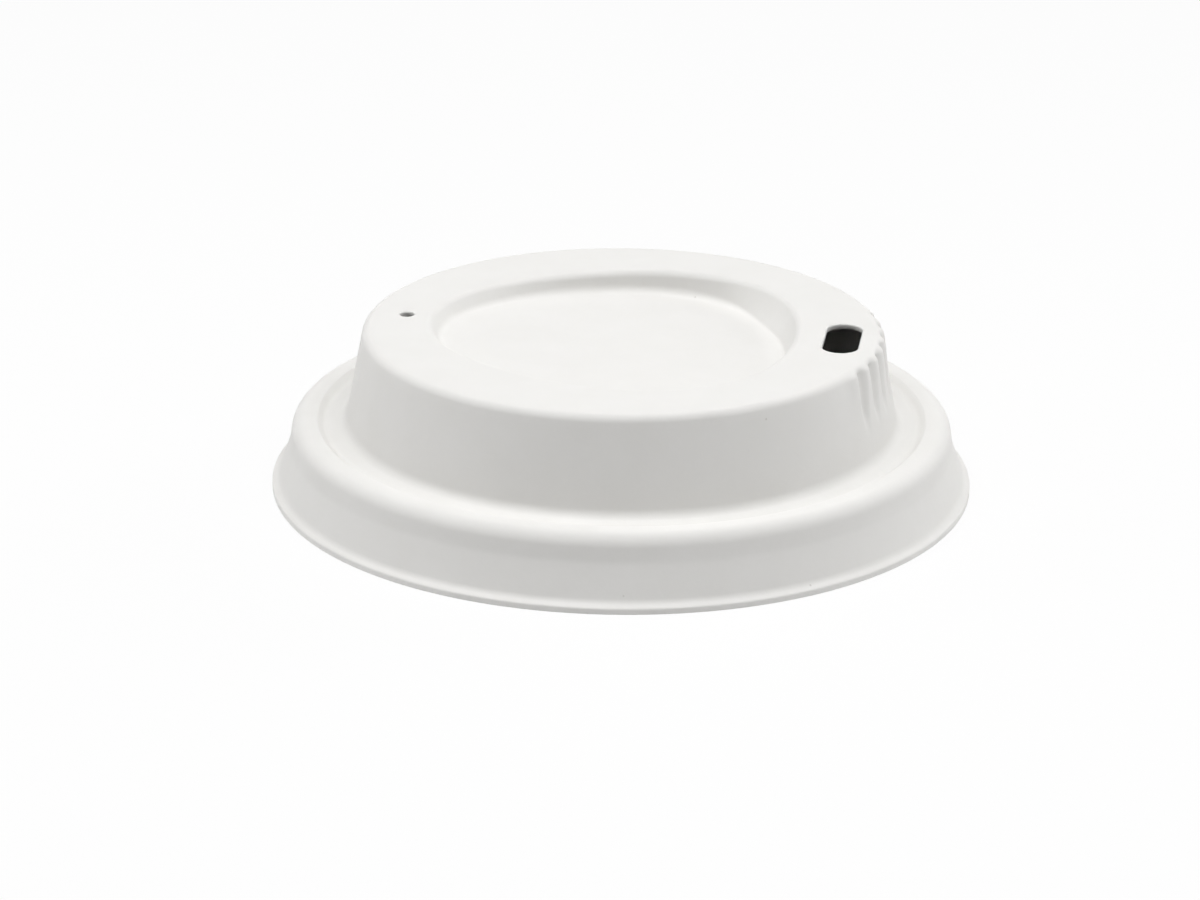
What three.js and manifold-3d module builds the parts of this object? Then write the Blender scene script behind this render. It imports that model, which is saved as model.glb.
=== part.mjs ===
// Takeaway coffee cup lid, pressed from paper fibre as one thin shell.
// Millimetres, +Z up, origin at the middle of the base, sip hole towards +X.
import * as THREE from "three";
import { mergeVertices } from "three/addons/utils/BufferGeometryUtils.js";
import Module from "manifold-3d";

// Whole lid
const lipDiameter = 96;
const lidHeight = 22;
const wall = 0.8;

// Skirt that flares out into the lip. The section is measured from here inwards.
const skirtTaper = 15.5;
const lipEdgeHeight = 0.8;
const flareOverhang = 0.65;
const flareTaper = 66;
const flareRadius = 1.7;

// Bead that sits over the cup's rolled rim
const beadHeight = 9.5;
const beadWidth = 3.54;
const beadCrownRadius = 2.3;
const beadShoulderRadius = 1;

// Moat between the bead and the dome
const moatDepth = 0.6;
const moatRampWidth = 0.8;
const moatRampRadius = 1;
const moatFloorWidth = 2.8;
const moatCornerRadius = 1.6;

// Dome: tapered side and rounded edge up to the flat deck
const domeTaper = 10;
const deckEdgeRadius = 1.6;

// Recess in the deck, a rounded triangle that is deepest beside the sip hole
const deckBandWidth = 10.3;
const recessLobes = 3;
const recessLobe = 1.3;
const recessMiddleDepth = 2.8;
const recessFloorSlope = 2.9;
const recessLipRadius = 1.2;
const recessFootShare = 0.7;
const recessWallSlope = 75;
const recessArcShare = 0.85;

// Openings through the deck, each centre so far in from the deck's edge
const sipHoleInset = 5.4;
const sipHoleWidth = 5;
const sipHoleLength = 12;
const ventInset = 5.7;
const ventDiameter = 2;

// Grip flutes pressed into the dome's side below the sip hole
const fluteCount = 7;
const flutePitch = 6.3;
const fluteDepth = 0.5;
const fluteTipRadius = 0.3;
const fluteRadius = 1.2;
const fluteEndHeight = 13.2;

// Fineness of the facets
const turnSegments = 72;
const arcStep = 20;
const recessSegments = 48;
const recessArcSteps = 4;
const fluteSegments = 20;
const holeArcSegments = 12;

const fibreColour = 0xefeeec;
const fibreRoughness = 0.92;

// How far a cutting solid runs past the face that it cuts
const cutThrough = 1;

const radians = THREE.MathUtils.degToRad;
const level = new THREE.Vector2(1, 0);
const deckRadius = outsideCorners().deckEdge.x;

const wasm = await Module();
wasm.setup();

// A closed three.js geometry as a solid that can be joined and cut.
function solidFrom(geometry) {
  const bare = geometry.clone();
  bare.deleteAttribute("normal");
  bare.deleteAttribute("uv");
  const merged = mergeVertices(bare, 1e-4);
  return new wasm.Manifold(
    new wasm.Mesh({
      numProp: 3,
      vertProperties: new Float32Array(merged.attributes.position.array),
      triVerts: new Uint32Array(merged.index.array),
    }),
  );
}

function geometryFrom(solid) {
  const { numProp, vertProperties, triVerts } = solid.getMesh();
  const corners = new THREE.InterleavedBuffer(vertProperties, numProp);
  const geometry = new THREE.BufferGeometry();
  geometry.setAttribute("position", new THREE.InterleavedBufferAttribute(corners, 3, 0));
  geometry.setIndex(new THREE.BufferAttribute(triVerts, 1));
  return geometry;
}

// Where two lines cross, each given as a point and a direction.
function crossing(pointA, alongA, pointB, alongB) {
  const share = pointB.clone().sub(pointA).cross(alongB) / alongA.cross(alongB);
  return pointA.clone().addScaledVector(alongA, share);
}

// The direction of a line that leans out from straight down by the given taper.
function downwards(taper) {
  return new THREE.Vector2(Math.sin(radians(taper)), -Math.cos(radians(taper)));
}

// A path through the given corners, each rounded to its radius by an arc.
function roundedPath(corners) {
  const path = [];
  corners.forEach(({ at, radius = 0 }, index) => {
    if (radius === 0) {
      path.push(at);
      return;
    }
    const arriving = at.clone().sub(corners[index - 1].at).normalize();
    const leaving = corners[index + 1].at.clone().sub(at).normalize();
    const turn = Math.atan2(arriving.cross(leaving), arriving.dot(leaving));
    const arcStart = at.clone().addScaledVector(arriving, -radius * Math.tan(Math.abs(turn) / 2));
    const toCentre = new THREE.Vector2(-arriving.y, arriving.x).multiplyScalar(Math.sign(turn));
    const centre = arcStart.clone().addScaledVector(toCentre, radius);
    const steps = Math.ceil(Math.abs(turn) / radians(arcStep));
    for (let step = 0; step <= steps; step += 1) {
      path.push(arcStart.clone().rotateAround(centre, (turn * step) / steps));
    }
  });
  return path;
}

// The sharp corners of the lid's outside in section, found from the lip inwards.
function outsideCorners() {
  const skirtFoot = new THREE.Vector2(lipDiameter / 2 - flareOverhang, lipEdgeHeight);
  const beadLevel = new THREE.Vector2(0, beadHeight);
  const beadCrown = crossing(skirtFoot, downwards(skirtTaper), beadLevel, level);
  const rampTop = beadCrown.clone().addScaledVector(level, -beadWidth);
  const rampFoot = new THREE.Vector2(rampTop.x - moatRampWidth, beadHeight - moatDepth);
  const domeFoot = rampFoot.clone().addScaledVector(level, -moatFloorWidth);
  const deckLevel = new THREE.Vector2(0, lidHeight);
  const deckEdge = crossing(domeFoot, downwards(domeTaper), deckLevel, level);
  return { deckEdge, domeFoot, rampFoot, rampTop, beadCrown };
}

// The corners from the deck's edge out to the bead's crown, for a skin that lies inset below the
// outside one. A radius shrinks with the inset where the skin bulges outwards and grows where it
// turns inwards, so the wall is as thick round a fillet as beside it.
function sectionCorners(inset) {
  const { deckEdge, domeFoot, rampFoot, rampTop, beadCrown } = outsideCorners();
  const upRamp = rampTop.clone().sub(rampFoot).normalize();
  const lines = [
    { through: deckEdge, along: level, radius: deckEdgeRadius - inset },
    { through: deckEdge, along: downwards(domeTaper), radius: moatCornerRadius + inset },
    { through: domeFoot, along: level, radius: moatRampRadius + inset },
    { through: rampFoot, along: upRamp, radius: beadShoulderRadius - inset },
    { through: rampTop, along: level, radius: beadCrownRadius - inset },
    { through: beadCrown, along: downwards(skirtTaper), radius: 0 },
  ];
  for (const line of lines) {
    const inwards = new THREE.Vector2(line.along.y, -line.along.x);
    line.through = line.through.clone().addScaledVector(inwards, inset);
  }
  return lines.slice(1).map((line, index) => {
    const { through, along, radius } = lines[index];
    return { at: crossing(through, along, line.through, line.along), radius };
  });
}

// A section turned about the lid's upright axis.
function turned(profile) {
  const blank = new THREE.LatheGeometry(profile.reverse(), turnSegments);
  blank.rotateX(Math.PI / 2);
  return solidFrom(blank);
}

// The lid's outside as a solid blank, with the flared lip round its foot.
function outsideBlank() {
  const corners = sectionCorners(0);
  const lipTop = new THREE.Vector2(lipDiameter / 2, lipEdgeHeight);
  const crown = corners.at(-1).at;
  const flareCorner = crossing(crown, downwards(skirtTaper), lipTop, downwards(flareTaper));
  const profile = roundedPath([
    { at: new THREE.Vector2(0, lidHeight) },
    ...corners,
    { at: flareCorner, radius: flareRadius },
    { at: lipTop },
    { at: new THREE.Vector2(lipDiameter / 2, 0) },
    { at: new THREE.Vector2(0, 0) },
  ]);
  return turned(profile);
}

// The space under the lid: the outside moved in by one wall, open at the base.
function insideCore() {
  const corners = sectionCorners(wall);
  const below = new THREE.Vector2(0, -cutThrough);
  const foot = crossing(corners.at(-1).at, downwards(skirtTaper), below, level);
  const profile = roundedPath([
    { at: new THREE.Vector2(0, lidHeight - wall) },
    ...corners,
    { at: foot },
    { at: below },
  ]);
  return turned(profile);
}

function recessDepthAt(x) {
  return recessMiddleDepth + x * Math.tan(radians(recessFloorSlope));
}

// The recess's rim seen from above: a circle with soft lobes, flattest at the sip side.
function recessRim(angle) {
  const reach = deckRadius - deckBandWidth - recessLobe * Math.cos(recessLobes * angle);
  const change = recessLobes * recessLobe * Math.sin(recessLobes * angle);
  const at = new THREE.Vector2(reach, 0).rotateAround(new THREE.Vector2(), angle);
  const inwards = new THREE.Vector2(-reach, change).rotateAround(new THREE.Vector2(), angle).normalize();
  return { at, inwards };
}

// The side of the recess in section: a convex arc at the rim, a straight, and a concave arc at the
// foot that grows with the depth. Where the recess is shallow both arcs turn less, so that they
// still fit.
function recessSide(depth) {
  const footRadius = depth * recessFootShare;
  const bothRadii = recessLipRadius + footRadius;
  const arcTurn = Math.acos(1 - (recessArcShare * depth) / bothRadii);
  const slope = Math.min(radians(recessWallSlope), arcTurn);
  const straightDrop = depth - bothRadii * (1 - Math.cos(slope));
  const run = bothRadii * Math.sin(slope) + straightDrop / Math.tan(slope);
  const side = [];
  for (let step = 0; step <= recessArcSteps; step += 1) {
    const lean = (slope * step) / recessArcSteps;
    side.push({
      inset: recessLipRadius * Math.sin(lean),
      drop: recessLipRadius * (1 - Math.cos(lean)),
      lean,
    });
  }
  for (let step = recessArcSteps; step >= 0; step -= 1) {
    const lean = (slope * step) / recessArcSteps;
    side.push({
      inset: run - footRadius * Math.sin(lean),
      drop: depth - footRadius * (1 - Math.cos(lean)),
      lean,
    });
  }
  return side;
}

// The recess as a cutting solid, grown on all sides by the given amount.
function recessCutter(grow) {
  const points = [];
  for (let turn = 0; turn < recessSegments; turn += 1) {
    const { at, inwards } = recessRim((turn * 2 * Math.PI) / recessSegments);
    const depth = recessDepthAt(at.x);
    points.push(at.x, at.y, lidHeight + cutThrough);
    for (const { inset, drop, lean } of recessSide(depth)) {
      const place = at.clone().addScaledVector(inwards, inset - grow * Math.sin(lean));
      const sunk = (drop * recessDepthAt(place.x)) / depth + grow * Math.cos(lean);
      points.push(place.x, place.y, lidHeight - sunk);
    }
  }
  const rings = points.length / 3 / recessSegments;
  const topCentre = rings * recessSegments;
  const floorCentre = topCentre + 1;
  points.push(0, 0, lidHeight + cutThrough);
  points.push(0, 0, lidHeight - recessDepthAt(0) - grow);

  const faces = [];
  for (let turn = 0; turn < recessSegments; turn += 1) {
    const here = turn * rings;
    const next = ((turn + 1) % recessSegments) * rings;
    faces.push(topCentre, here, next);
    for (let ring = 0; ring < rings - 1; ring += 1) {
      faces.push(here + ring, here + ring + 1, next + ring);
      faces.push(next + ring, here + ring + 1, next + ring + 1);
    }
    faces.push(floorCentre, next + rings - 1, here + rings - 1);
  }
  const geometry = new THREE.BufferGeometry();
  geometry.setAttribute("position", new THREE.Float32BufferAttribute(points, 3));
  geometry.setIndex(faces);
  return solidFrom(geometry);
}

// One grip flute as a long cone that lies along the dome's side. It runs out through the deck's
// rounded edge at its thick end and rises out of the side at its thin end.
function fluteCutter(angle, grow) {
  const along = downwards(domeTaper);
  const outwards = new THREE.Vector2(-along.y, along.x);
  const { deckEdge } = outsideCorners();
  const top = deckEdge
    .clone()
    .addScaledVector(along, -cutThrough)
    .addScaledVector(outwards, fluteRadius - fluteDepth);
  const bottom = crossing(deckEdge, along, new THREE.Vector2(0, fluteEndHeight), level);
  bottom.addScaledVector(outwards, fluteTipRadius);
  const length = top.distanceTo(bottom);
  const cone = new THREE.CylinderGeometry(fluteRadius + grow, fluteTipRadius + grow, length, fluteSegments);
  const lean = Math.atan2(top.x - bottom.x, top.y - bottom.y);
  cone.rotateX(Math.PI / 2);
  cone.rotateY(lean);
  cone.translate((top.x + bottom.x) / 2, 0, (top.y + bottom.y) / 2);
  cone.rotateZ(angle);
  return solidFrom(cone);
}

// All the flutes side by side, centred on the sip hole.
function fluteCutters(grow) {
  const cutters = [];
  for (let index = 0; index < fluteCount; index += 1) {
    const angle = radians((index - (fluteCount - 1) / 2) * flutePitch);
    cutters.push(fluteCutter(angle, grow));
  }
  return cutters;
}

// A straight punch through the deck, rounded at both ends and long across the lid.
function deckPunch(centre, width, length) {
  const half = length / 2 - width / 2;
  const outline = new THREE.Shape();
  outline.absarc(centre, half, width / 2, 0, Math.PI);
  outline.absarc(centre, -half, width / 2, Math.PI, 2 * Math.PI);
  const punch = new THREE.ExtrudeGeometry(outline, {
    depth: wall + 2 * cutThrough,
    curveSegments: holeArcSegments,
    bevelEnabled: false,
  });
  punch.translate(0, 0, lidHeight - wall - cutThrough);
  return solidFrom(punch);
}

function pressedFibre() {
  return new THREE.MeshStandardMaterial({
    color: fibreColour,
    roughness: fibreRoughness,
    metalness: 0,
  });
}

function lidBody() {
  let outside = outsideBlank().subtract(recessCutter(0));
  let inside = insideCore().subtract(recessCutter(wall));
  for (const cutter of fluteCutters(0)) {
    outside = outside.subtract(cutter);
  }
  for (const cutter of fluteCutters(wall)) {
    inside = inside.subtract(cutter);
  }
  const shell = outside
    .subtract(inside)
    .subtract(deckPunch(deckRadius - sipHoleInset, sipHoleWidth, sipHoleLength))
    .subtract(deckPunch(ventInset - deckRadius, ventDiameter, ventDiameter));
  const body = new THREE.Mesh(geometryFrom(shell), pressedFibre());
  body.name = "lid";
  return body;
}

const cupLid = new THREE.Group();
cupLid.name = "coffee_cup_lid";
cupLid.add(lidBody());

export default cupLid;
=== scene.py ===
import math

import bpy
from mathutils import Matrix, Vector


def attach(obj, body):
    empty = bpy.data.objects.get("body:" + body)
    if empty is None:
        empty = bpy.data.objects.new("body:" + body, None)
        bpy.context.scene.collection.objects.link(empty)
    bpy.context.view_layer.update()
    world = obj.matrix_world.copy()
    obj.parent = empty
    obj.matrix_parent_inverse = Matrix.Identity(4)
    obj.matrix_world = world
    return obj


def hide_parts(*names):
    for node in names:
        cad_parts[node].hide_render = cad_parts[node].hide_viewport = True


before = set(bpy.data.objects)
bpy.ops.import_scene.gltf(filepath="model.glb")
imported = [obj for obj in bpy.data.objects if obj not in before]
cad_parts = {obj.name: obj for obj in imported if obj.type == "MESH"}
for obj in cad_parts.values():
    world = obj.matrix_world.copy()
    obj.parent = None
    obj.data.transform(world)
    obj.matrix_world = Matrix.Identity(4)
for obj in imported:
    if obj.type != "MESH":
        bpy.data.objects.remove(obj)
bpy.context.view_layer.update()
mm = 0.001

# Camera, solved from the photograph: the sip hole is to the right and turned a little forwards
camera = {
    "azimuth": 8.2,        # degrees round from the front, towards the sip hole
    "elevation": 21.38,
    "distance": 510.6,     # mm from the middle of the lid's base
    "roll": 0.52,
    "focalLength": 110.77, # mm on a 36 mm sensor
    "sensorWidth": 36.0,
    "pictureWidth": 1200,  # pixels
    "aimRight": 21.1,      # pixels that the base's middle lies to the right of the picture's
    "aimDown": 26.2,
    "nearClip": 10.0,      # mm
}


def makeCamera(c):
    azimuth, elevation = math.radians(c["azimuth"]), math.radians(c["elevation"])
    away = Vector((math.sin(azimuth) * math.cos(elevation),
                   -math.cos(azimuth) * math.cos(elevation), math.sin(elevation)))
    forward = -away
    right = forward.cross(Vector((0, 0, 1))).normalized()
    up = right.cross(forward)
    focalPixels = c["focalLength"] / c["sensorWidth"] * c["pictureWidth"]
    yaw = math.atan2(c["aimRight"], focalPixels)
    pitch = math.atan2(c["aimDown"], focalPixels)
    forward, right = (forward * math.cos(yaw) - right * math.sin(yaw),
                      right * math.cos(yaw) + forward * math.sin(yaw))
    forward, up = (forward * math.cos(pitch) + up * math.sin(pitch),
                   up * math.cos(pitch) - forward * math.sin(pitch))
    roll = math.radians(c["roll"])
    right, up = (right * math.cos(roll) + up * math.sin(roll),
                 up * math.cos(roll) - right * math.sin(roll))
    data = bpy.data.cameras.new("camera")
    data.lens = c["focalLength"]
    data.sensor_width = c["sensorWidth"]
    data.clip_start = c["nearClip"] * mm
    made = bpy.data.objects.new("camera", data)
    place = Matrix((right, up, -forward)).transposed().to_4x4()
    place.translation = away * c["distance"] * mm
    made.matrix_world = place
    bpy.context.collection.objects.link(made)
    bpy.context.scene.camera = made


makeCamera(camera)
print("camera placed")


# Sizes in mm and degrees: the CAD model's, with some of them tuned to the photograph.
# Tapers are from upright, and the recess's slopes are from level.
lid = {
    "lipRadius": 48.0, "height": 22.0, "wall": 0.8,
    "lipEdge": 0.8, "flareOverhang": 0.8, "flareTaper": 63.0, "flareRadius": 1.2,
    "lipTopRound": 0.3, "lipFootRound": 0.12,
    "skirtTaper": 18.5, "neckHeight": 6.0, "neckRadius": 4.0,
    "beadHeight": 9.5, "beadWidth": 3.3, "beadSideTaper": 8.5,
    "crownRadius": 1.9, "shoulderRadius": 0.4,
    "moatDepth": 0.95, "rampWidth": 1.0, "rampRadius": 1.0,
    "moatWidth": 2.9, "moatRise": 0.65, "moatRadius": 1.5,   # its floor rises towards the dome
    "domeTaper": 11.0, "deckEdgeRadius": 1.15,
    "leastRadius": 0.05,   # where an inside radius would shrink to nothing
}
recess = {
    "band": 10.1,      # from the deck's edge to the middle of the lobes' swing
    "lobes": 3, "lobe": 1.2,
    "stretch": 0.45,   # more reach towards the sip hole and the vent
    "depth": 3.1, "floorSlope": 2.4,
    "lipRadius": 1.0, "footRadius": 1.3, "sipFootRadius": 0.5, "arcShare": 0.95,
    "wallSlope": 84.0, "sipSlope": 68.0, "shoulderSlope": 58.0, "ventSlope": 60.0,
    # where the side changes, in degrees round from the sip hole
    "sipTurn": (10, 35), "shoulderTurn": (38, 72), "ventTurn": (110, 155), "footTurn": (35, 80),
}
holes = {
    "sipInset": 5.2, "sipWidth": 4.85, "sipLength": 11.9, "ventInset": 5.4, "ventWidth": 2.0,
    "edgeRound": 0.22, "clearance": 1.0,
}
flutes = {
    "count": 7, "pitch": 6.3, "halfWidth": 2.7,   # degrees round the lid
    "depth": 0.65, "endHeight": 13.0,
    "fullTop": 20.9, "fadeTop": 22.0,             # they soften away between these heights
    "footWidth": 0.55, "footRamp": 0.45,          # shares of the width and length at the lower end
    "ribRise": 0.3, "ribFoot": 15.0,              # the ribs between them stand out towards the top
    "ribFade": (0.5, 1.1),                        # pitches past the outermost flute
}
fineness = {
    "coarseStep": 1.35, "fineStep": 0.45, "fineHalfAngle": 24.0,   # degrees round the lid
    "arcStep": 7.0, "straightStep": 0.8, "leastStraight": 1e-6,
    "deckRows": 11, "floorRows": 16, "recessArcSteps": 8, "holeSteps": 48, "holeEdgeSteps": 4,
}


def downwards(taper):
    return Vector((math.sin(math.radians(taper)), -math.cos(math.radians(taper))))


def crossing(pointA, alongA, pointB, alongB):
    gap = pointB - pointA
    share = (gap.x * alongB.y - gap.y * alongB.x) / (alongA.x * alongB.y - alongA.y * alongB.x)
    return pointA + alongA * share


def roundedPath(corners):
    # corners are (point, radius); the straights are cut into short steps as well as the arcs
    path = [corners[0][0]]
    for index in range(1, len(corners) - 1):
        at, radius = corners[index]
        arriving = (at - corners[index - 1][0]).normalized()
        leaving = (corners[index + 1][0] - at).normalized()
        turn = math.atan2(arriving.x * leaving.y - arriving.y * leaving.x, arriving.dot(leaving))
        reach = radius * math.tan(abs(turn) / 2)
        start = at - arriving * reach
        centre = start + Vector((-arriving.y, arriving.x)) * math.copysign(radius, turn)
        addStraight(path, start)
        steps = max(1, math.ceil(abs(turn) / math.radians(fineness["arcStep"])))
        for step in range(1, steps + 1):
            spoke = start - centre
            path.append(centre + Matrix.Rotation(turn * step / steps, 2) @ spoke)
    addStraight(path, corners[-1][0])
    return path


def addStraight(path, end):
    start = path[-1]
    length = (end - start).length
    if length < fineness["leastStraight"]:
        return
    steps = max(1, math.ceil(length / fineness["straightStep"]))
    for step in range(1, steps + 1):
        path.append(start.lerp(end, step / steps))


def outsideCorners():
    # the sharp corners of the outside in section, found from the lip inwards
    level = Vector((1, 0))
    skirtFoot = Vector((lid["lipRadius"] - lid["flareOverhang"], lid["lipEdge"]))
    neck = crossing(skirtFoot, downwards(lid["skirtTaper"]), Vector((0, lid["neckHeight"])), level)
    beadCrown = crossing(neck, downwards(lid["beadSideTaper"]), Vector((0, lid["beadHeight"])), level)
    rampTop = beadCrown - level * lid["beadWidth"]
    rampFoot = rampTop - Vector((lid["rampWidth"], lid["moatDepth"]))
    domeFoot = rampFoot - Vector((lid["moatWidth"], -lid["moatRise"]))
    deckEdge = crossing(domeFoot, downwards(lid["domeTaper"]), Vector((0, lid["height"])), level)
    return deckEdge, domeFoot, rampFoot, rampTop, beadCrown, neck


deckRadius = outsideCorners()[0].x


def sectionCorners(inset):
    # from the deck's edge to the bead's neck, for a skin that lies inset under the outside one
    level = Vector((1, 0))
    deckEdge, domeFoot, rampFoot, rampTop, beadCrown, neck = outsideCorners()
    lines = [
        (deckEdge, level, lid["deckEdgeRadius"] - inset),
        (deckEdge, downwards(lid["domeTaper"]), lid["moatRadius"] + inset),
        (domeFoot, (rampFoot - domeFoot).normalized(), lid["rampRadius"] + inset),
        (rampFoot, (rampTop - rampFoot).normalized(), lid["shoulderRadius"] - inset),
        (rampTop, level, lid["crownRadius"] - inset),
        (beadCrown, downwards(lid["beadSideTaper"]), lid["neckRadius"] + inset),
        (neck, downwards(lid["skirtTaper"]), 0),
    ]
    moved = [(through + Vector((along.y, -along.x)) * inset, along, max(radius, lid["leastRadius"]))
             for through, along, radius in lines]
    return [(crossing(moved[i][0], moved[i][1], moved[i + 1][0], moved[i + 1][1]), moved[i][2])
            for i in range(len(moved) - 1)]


def outsideSection():
    corners = sectionCorners(0)
    lipTop = Vector((lid["lipRadius"], lid["lipEdge"]))
    flare = crossing(corners[-1][0], downwards(lid["skirtTaper"]), lipTop, downwards(lid["flareTaper"]))
    start = corners[0][0] - Vector((lid["deckEdgeRadius"], 0))
    return roundedPath([(start, 0), *corners, (flare, lid["flareRadius"]),
                        (lipTop, lid["lipTopRound"]),
                        (Vector((lid["lipRadius"], 0)), lid["lipFootRound"]),
                        (Vector((lipInnerRadius(), 0)), 0)])


def lipInnerRadius():
    corners = sectionCorners(lid["wall"])
    return crossing(corners[-1][0], downwards(lid["skirtTaper"]), Vector((0, 0)), Vector((1, 0))).x


def insideSection():
    corners = sectionCorners(lid["wall"])
    start = corners[0][0] - Vector((lid["deckEdgeRadius"], 0))
    return roundedPath([(start, 0), *corners, (Vector((lipInnerRadius(), 0)), 0)])


def smoothStep(low, high, value):
    t = min(1, max(0, (value - low) / (high - low)))
    return t * t * (3 - 2 * t)


def fluteDepthAt(angle, height):
    # soft grooves that are deepest under the deck's edge and run out below, and the low ribs
    # between them, which rise out of the dome's side and count as less than no depth
    degrees = math.degrees(angle)
    outermost = (flutes["count"] - 1) / 2
    nearest = min(outermost, max(-outermost, round(degrees / flutes["pitch"])))
    offset = degrees - nearest * flutes["pitch"]
    fade = 1 - smoothStep(flutes["fullTop"], flutes["fadeTop"], height)
    zone = 1 - smoothStep(*flutes["ribFade"], abs(degrees) / flutes["pitch"] - outermost)
    rise = flutes["ribRise"] * fade * zone * smoothStep(flutes["ribFoot"], flutes["fullTop"], height)
    taper = 1 - max(0, (flutes["fullTop"] - height) / (flutes["fullTop"] - flutes["endHeight"]))
    if taper <= 0:
        return -rise
    width = flutes["footWidth"] + (1 - flutes["footWidth"]) * taper
    across = offset / (flutes["halfWidth"] * width)
    if abs(across) >= 1:
        return -rise
    full = flutes["depth"] * fade * smoothStep(0, flutes["footRamp"], taper) + rise
    return full * (0.5 + 0.5 * math.cos(math.pi * across)) - rise


def recessDepthAt(x):
    return recess["depth"] + x * math.tan(math.radians(recess["floorSlope"]))


def recessRim(angle):
    # a point of the rim and the level direction in from it: a circle with soft lobes, drawn out
    # a little towards the sip hole and the vent
    reach = deckRadius - recess["band"] - recess["lobe"] * math.cos(recess["lobes"] * angle)
    reach += recess["stretch"] * math.cos(angle) ** 2
    change = recess["lobes"] * recess["lobe"] * math.sin(recess["lobes"] * angle)
    change -= recess["stretch"] * math.sin(2 * angle)
    turn = Matrix.Rotation(angle, 2)
    return turn @ Vector((reach, 0)), (turn @ Vector((-reach, change))).normalized()


def recessSlopeAt(angle):
    # gentlest beside the sip hole and at the vent, and nearly upright between them
    aside = abs(math.degrees(angle))
    gentler = (recess["sipSlope"] - recess["shoulderSlope"]) * smoothStep(*recess["sipTurn"], aside)
    steeper = (recess["wallSlope"] - recess["shoulderSlope"]) * smoothStep(*recess["shoulderTurn"], aside)
    ventwards = (recess["wallSlope"] - recess["ventSlope"]) * smoothStep(*recess["ventTurn"], aside)
    return math.radians(recess["sipSlope"] - gentler + steeper - ventwards)


def recessSide(angle, depth):
    # steps down the side, each as how far in, how far down and its lean
    share = smoothStep(*recess["footTurn"], abs(math.degrees(angle)))
    foot = recess["sipFootRadius"] + (recess["footRadius"] - recess["sipFootRadius"]) * share
    rim = recess["lipRadius"]
    both = rim + foot
    slope = min(recessSlopeAt(angle), math.acos(max(-1, 1 - recess["arcShare"] * depth / both)))
    straight = depth - both * (1 - math.cos(slope))
    run = both * math.sin(slope) + straight / math.tan(slope)
    steps = fineness["recessArcSteps"]
    side = []
    for step in range(steps + 1):
        lean = slope * step / steps
        side.append((rim * math.sin(lean), rim * (1 - math.cos(lean)), lean))
    for step in range(steps, -1, -1):
        lean = slope * step / steps
        side.append((run - foot * math.sin(lean), depth - foot * (1 - math.cos(lean)), lean))
    return side


def columnAngles():
    angles = []
    fine = fineness["fineHalfAngle"]
    fineCount = round(2 * fine / fineness["fineStep"])
    angles += [-fine + 2 * fine * i / fineCount for i in range(fineCount)]
    coarseCount = round((360 - 2 * fine) / fineness["coarseStep"])
    angles += [fine + (360 - 2 * fine) * i / coarseCount for i in range(coarseCount)]
    return [math.radians(a if a <= 180 else a - 360) for a in angles]


def skinColumn(angle, section, inset):
    # one upright slice of a skin, from the recess's floor out and down to the lip
    outwards = Vector((math.cos(angle), math.sin(angle)))
    at, inwards = recessRim(angle)
    depth = recessDepthAt(at.x)
    side = []
    for inwardsBy, drop, lean in recessSide(angle, depth):
        place = at + inwards * (inwardsBy - inset * math.sin(lean))
        sunk = drop * recessDepthAt(place.x) / depth + inset * math.cos(lean)
        side.append(Vector((place.x, place.y, lid["height"] - sunk)))
    foot = side[-1]
    column = []
    for row in range(1, fineness["floorRows"]):
        share = row / fineness["floorRows"]
        x, y = foot.x * share, foot.y * share
        column.append(Vector((x, y, lid["height"] - recessDepthAt(x) - inset)))
    column += reversed(side)
    rim = side[0]
    deckEnd = Vector((outwards.x * section[0].x, outwards.y * section[0].x, section[0].y))
    for row in range(1, fineness["deckRows"]):
        column.append(rim.lerp(deckEnd, row / fineness["deckRows"]))
    for index, point in enumerate(section):
        before, after = section[max(0, index - 1)], section[min(len(section) - 1, index + 1)]
        along = (after - before).normalized()
        pressed = point + Vector((along.y, -along.x)) * fluteDepthAt(angle, point.y + along.x * inset)
        column.append(Vector((outwards.x * pressed.x, outwards.y * pressed.x, pressed.y)))
    return column


def lidShell():
    angles = columnAngles()
    outside, inside = outsideSection(), insideSection()
    points = [Vector((0, 0, lid["height"] - recess["depth"])),
              Vector((0, 0, lid["height"] - recess["depth"] - lid["wall"]))]
    middles = len(points)
    for angle in angles:
        outer = skinColumn(angle, outside, 0)
        inner = skinColumn(angle, inside, lid["wall"])
        column = outer[:-1] + list(reversed(inner))
        points += column
    height = len(column)
    faces = []
    for turn in range(len(angles)):
        here = middles + turn * height
        following = middles + (turn + 1) % len(angles) * height
        faces.append((0, here, following))
        faces.append((1, following + height - 1, here + height - 1))
        for row in range(height - 1):
            faces.append((here + row, here + row + 1, following + row + 1, following + row))
    mesh = bpy.data.meshes.new("fibreLid")
    mesh.from_pydata([p * mm for p in points], [], faces)
    mesh.validate()
    return mesh


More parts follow.
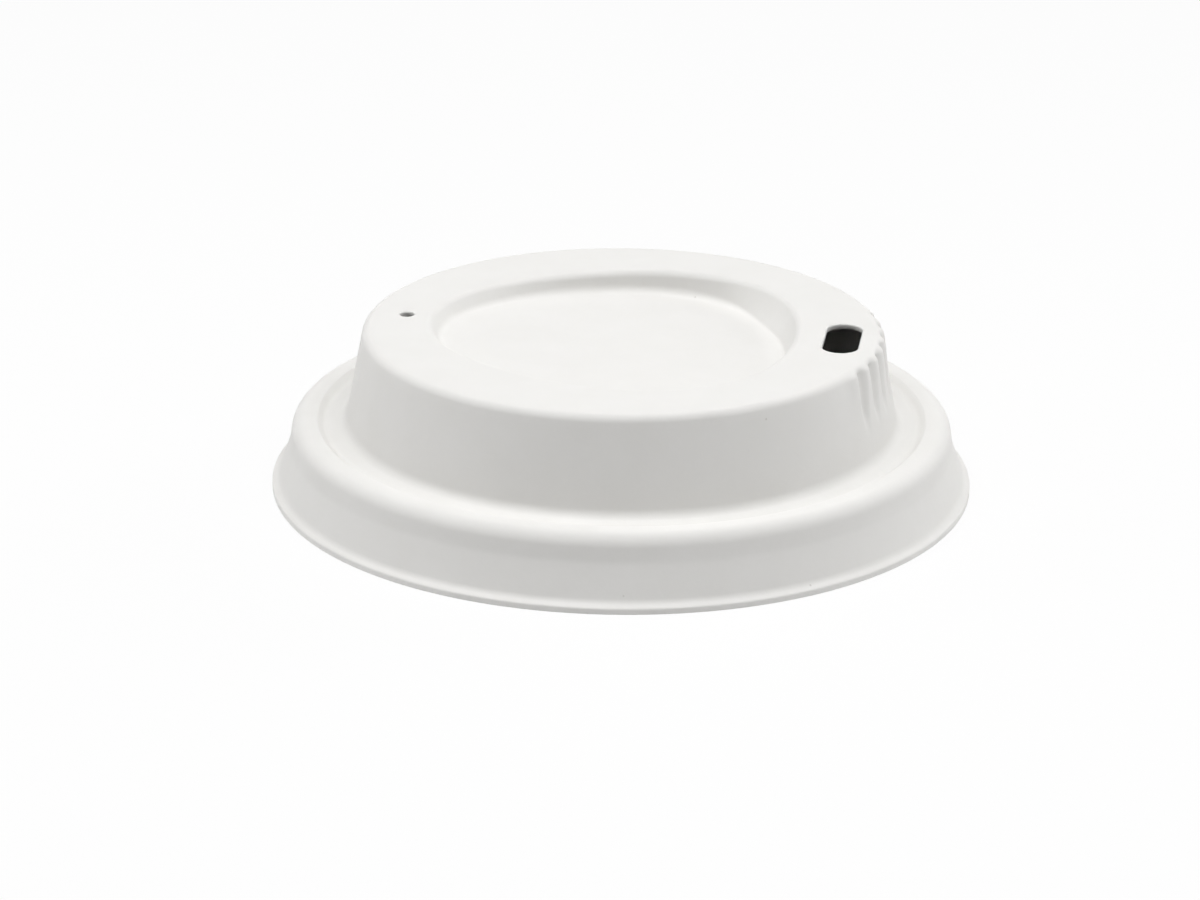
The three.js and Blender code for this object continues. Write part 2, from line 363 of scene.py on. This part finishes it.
def holePunch(name, centre, width, length):
    # a slot with round ends, whose two rims open out to leave softly rounded edges on the deck;
    # each ring of points is a height and how far it spreads past the slot
    half = length / 2 - width / 2
    top, bottom = lid["height"], lid["height"] - lid["wall"]
    edge, steps, count = holes["edgeRound"], fineness["holeEdgeSteps"], fineness["holeSteps"]
    rings = [(top + holes["clearance"], edge)]
    for step in range(steps + 1):
        lean = math.radians(90) * step / steps
        rings.append((top - edge * (1 - math.cos(lean)), edge * (1 - math.sin(lean))))
    for step in range(steps, -1, -1):
        lean = math.radians(90) * step / steps
        rings.append((bottom + edge * (1 - math.cos(lean)), edge * (1 - math.sin(lean))))
    rings.append((bottom - holes["clearance"], edge))
    points = []
    for z, spread in rings:
        for turn in range(count):
            angle = math.radians(360) * (turn + 0.5) / count
            end = half if math.sin(angle) > 0 else -half
            reach = width / 2 + spread
            across, along = reach * math.cos(angle), reach * math.sin(angle)
            points.append(Vector((centre + across, end + along, z)) * mm)
    faces = [tuple(range(count))]
    for ring in range(len(rings) - 1):
        for turn in range(count):
            a, b = ring * count + turn, ring * count + (turn + 1) % count
            faces.append((a, a + count, b + count, b))
    last = (len(rings) - 1) * count
    faces.append(tuple(last + turn for turn in reversed(range(count))))
    mesh = bpy.data.meshes.new(name)
    mesh.from_pydata(points, [], faces)
    return mesh


def asObject(name, mesh):
    made = bpy.data.objects.new(name, mesh)
    bpy.context.collection.objects.link(made)
    return made


def makeLid():
    body = asObject("fibreLid", lidShell())
    punches = []
    for name, centre, width, length in (
            ("sipPunch", deckRadius - holes["sipInset"], holes["sipWidth"], holes["sipLength"]),
            ("ventPunch", holes["ventInset"] - deckRadius, holes["ventWidth"], holes["ventWidth"])):
        punches.append(asObject(name, holePunch(name, centre, width, length)))
    for punch in punches:
        cut = body.modifiers.new("cut", "BOOLEAN")
        cut.object = punch
        cut.operation = "DIFFERENCE"
        cut.solver = "EXACT"
    bpy.context.view_layer.update()
    seen = body.evaluated_get(bpy.context.evaluated_depsgraph_get())
    finished = bpy.data.meshes.new_from_object(seen)
    body.modifiers.clear()
    body.data = finished
    finished.name = "fibreLid"
    for punch in punches:
        bpy.data.objects.remove(punch)
    finished.polygons.foreach_set("use_smooth", [True] * len(finished.polygons))
    return body


fibreLid = makeLid()
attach(fibreLid, "root")
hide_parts("lid")
print("lid built:", len(fibreLid.data.polygons), "faces")


def fromHex(colour):
    # sRGB hex to the linear values that Blender's sockets take
    parts = [int(colour[start:start + 2], 16) / 255 for start in (1, 3, 5)]
    return [p / 12.92 if p <= 0.04045 else ((p + 0.055) / 1.055) ** 2.4 for p in parts] + [1]


def addNode(tree, kind, settings=None, values=None, links=None):
    node = tree.nodes.new(kind)
    for name, value in (settings or {}).items():
        setattr(node, name, value)
    for name, value in (values or {}).items():
        node.inputs[name].default_value = value
    for name, source in (links or {}).items():
        tree.links.new(source, node.inputs[name])
    return node


fibre = {
    "pale": "#f0efed", "dull": "#ebeae7", "speck": "#8d867a",
    "roughness": 0.9, "specular": 0.3,
    "mottleSize": 6.0, "mottleDetail": 4, "mottleRoughness": 0.6,   # mm, where the pulp settled thicker
    "fibreLength": 1.6, "grainDetail": 6, "grainRoughness": 0.65,   # mm, fibres felted into the skin
    "bumpStrength": 0.12, "bumpHeight": 0.2,                        # mm
    "speckPitch": 7.0, "speckSize": 0.4, "speckCore": 0.4,          # mm, mm and a share of the size
    "speckShare": 0.3, "speckShade": 0.3,                           # how many there are and how dark
}


def moulded(name, f):
    # Moulded paper pulp, hot pressed and left uncoated: white and quite matte, with faint cloudy
    # patches, a soft felted grain and a stray dark fibre end here and there. Single fibres are
    # too thin to show, so the grain is drawn at their length.
    material = bpy.data.materials.new(name)
    material.use_nodes = True
    tree = material.node_tree
    shader = tree.nodes["Principled BSDF"]
    place = addNode(tree, "ShaderNodeTexCoord").outputs["Object"]
    mottle = addNode(tree, "ShaderNodeTexNoise",
                     values={"Scale": 1 / (f["mottleSize"] * mm), "Detail": f["mottleDetail"],
                             "Roughness": f["mottleRoughness"]},
                     links={"Vector": place})
    clouded = addNode(tree, "ShaderNodeMix", {"data_type": "RGBA"},
                      {"A": fromHex(f["dull"]), "B": fromHex(f["pale"])},
                      {"Factor": mottle.outputs["Fac"]})
    # the fibre ends: at most one in each cell, and none in most cells
    cells = addNode(tree, "ShaderNodeTexVoronoi", values={"Scale": 1 / (f["speckPitch"] * mm)},
                    links={"Vector": place})
    speckRadius = f["speckSize"] / 2 / f["speckPitch"]
    near = addNode(tree, "ShaderNodeMapRange",
                   values={"From Min": speckRadius, "From Max": speckRadius * f["speckCore"],
                           "To Min": 0, "To Max": f["speckShade"]},
                   links={"Value": cells.outputs["Distance"]})
    parts = addNode(tree, "ShaderNodeSeparateColor", links={"Color": cells.outputs["Color"]})
    chosen = addNode(tree, "ShaderNodeMath", {"operation": "LESS_THAN"}, {1: f["speckShare"]},
                     {0: parts.outputs["Red"]})
    specks = addNode(tree, "ShaderNodeMath", {"operation": "MULTIPLY"},
                     links={0: near.outputs["Result"], 1: chosen.outputs[0]})
    colour = addNode(tree, "ShaderNodeMix", {"data_type": "RGBA"}, {"B": fromHex(f["speck"])},
                     {"Factor": specks.outputs[0], "A": clouded.outputs["Result"]})
    tree.links.new(colour.outputs["Result"], shader.inputs["Base Color"])
    shader.inputs["Roughness"].default_value = f["roughness"]
    shader.inputs["Specular IOR Level"].default_value = f["specular"]
    grain = addNode(tree, "ShaderNodeTexNoise",
                    values={"Scale": 1 / (f["fibreLength"] * mm), "Detail": f["grainDetail"],
                            "Roughness": f["grainRoughness"]},
                    links={"Vector": place})
    bump = addNode(tree, "ShaderNodeBump",
                   values={"Strength": f["bumpStrength"], "Distance": f["bumpHeight"] * mm},
                   links={"Height": grain.outputs["Fac"]})
    tree.links.new(bump.outputs["Normal"], shader.inputs["Normal"])
    return material


fibreLid.data.materials.clear()
fibreLid.data.materials.append(moulded("mouldedPaperPulp", fibre))
print("material made")


studio = {
    "floorSize": 6.0,         # m
    "floorColour": "#f4f4f4",
    "tableLift": 0.9,         # how far the table is lifted to plain white, which keeps a soft shadow
    "worldStrength": 0.02,
    "lamps": [
        # name, place in m, width and length in m, power in W; each looks at the lid
        ("overheadBox", (0.0, 0.0, 1.1), (1.4, 0.6), 4.0),
        ("overheadStrip", (0.0, -0.1, 0.6), (1.2, 0.3), 3.4),
        ("leftFill", (-1.3, 0.0, 0.45), (0.7, 0.7), 3.5),
        ("rightFill", (1.3, 0.0, 0.45), (0.7, 0.7), 1.4),
        ("rightBack", (1.0, 0.9, 0.5), (0.6, 0.6), 4.8),
    ],
}


def seenDirectly(tree):
    # 1 where the camera, a reflection or a clear material looks straight at the surface
    path = addNode(tree, "ShaderNodeLightPath")
    first = addNode(tree, "ShaderNodeMath", {"operation": "MAXIMUM"},
                    links={0: path.outputs["Is Camera Ray"], 1: path.outputs["Is Glossy Ray"]})
    return addNode(tree, "ShaderNodeMath", {"operation": "MAXIMUM"},
                   links={0: first.outputs[0], 1: path.outputs["Is Transmission Ray"]}).outputs[0]


def makeStudio(s):
    half = s["floorSize"] / 2
    mesh = bpy.data.meshes.new("floor")
    corners = [(-half, -half, 0), (half, -half, 0), (half, half, 0), (-half, half, 0)]
    mesh.from_pydata(corners, [], [(0, 1, 2, 3)])
    floor = asObject("floor", mesh)
    material = bpy.data.materials.new("whitePaperTable")
    material.use_nodes = True
    tree = material.node_tree
    paper = tree.nodes["Principled BSDF"]
    paper.inputs["Base Color"].default_value = fromHex(s["floorColour"])
    paper.inputs["Roughness"].default_value = 1
    paper.inputs["Specular IOR Level"].default_value = 0
    white = addNode(tree, "ShaderNodeEmission", values={"Strength": 1})
    # the lift towards white stops at the lid's lip, so the table seen through its holes stays dark
    fromMiddle = addNode(tree, "ShaderNodeVectorMath", {"operation": "LENGTH"},
                         links={0: addNode(tree, "ShaderNodeTexCoord").outputs["Object"]})
    outside = addNode(tree, "ShaderNodeMath", {"operation": "GREATER_THAN"}, {1: lipInnerRadius() * mm},
                      {0: fromMiddle.outputs["Value"]})
    lift = addNode(tree, "ShaderNodeMath", {"operation": "MULTIPLY"}, {1: s["tableLift"]},
                   {0: seenDirectly(tree)})
    share = addNode(tree, "ShaderNodeMath", {"operation": "MULTIPLY"},
                    links={0: lift.outputs[0], 1: outside.outputs[0]})
    mix = addNode(tree, "ShaderNodeMixShader",
                  links={0: share.outputs[0], 1: paper.outputs[0], 2: white.outputs[0]})
    tree.links.new(mix.outputs[0], tree.nodes["Material Output"].inputs["Surface"])
    mesh.materials.append(material)

    world = bpy.data.worlds.new("studio")
    world.use_nodes = True
    bpy.context.scene.world = world
    tree = world.node_tree
    strength = addNode(tree, "ShaderNodeMapRange", values={"To Min": s["worldStrength"], "To Max": 1},
                       links={"Value": seenDirectly(tree)})
    sky = tree.nodes["Background"]
    sky.inputs["Color"].default_value = (1, 1, 1, 1)
    tree.links.new(strength.outputs[0], sky.inputs["Strength"])

    for name, place, (width, length), power in s["lamps"]:
        data = bpy.data.lights.new(name, "AREA")
        data.shape = "RECTANGLE"
        data.size = width
        data.size_y = length
        data.energy = power
        lamp = bpy.data.objects.new(name, data)
        lamp.location = place
        lamp.rotation_euler = (-Vector(place)).to_track_quat("-Z", "Y").to_euler()
        bpy.context.collection.objects.link(lamp)


makeStudio(studio)
bpy.context.scene.view_settings.view_transform = "Standard"
print("studio lit")
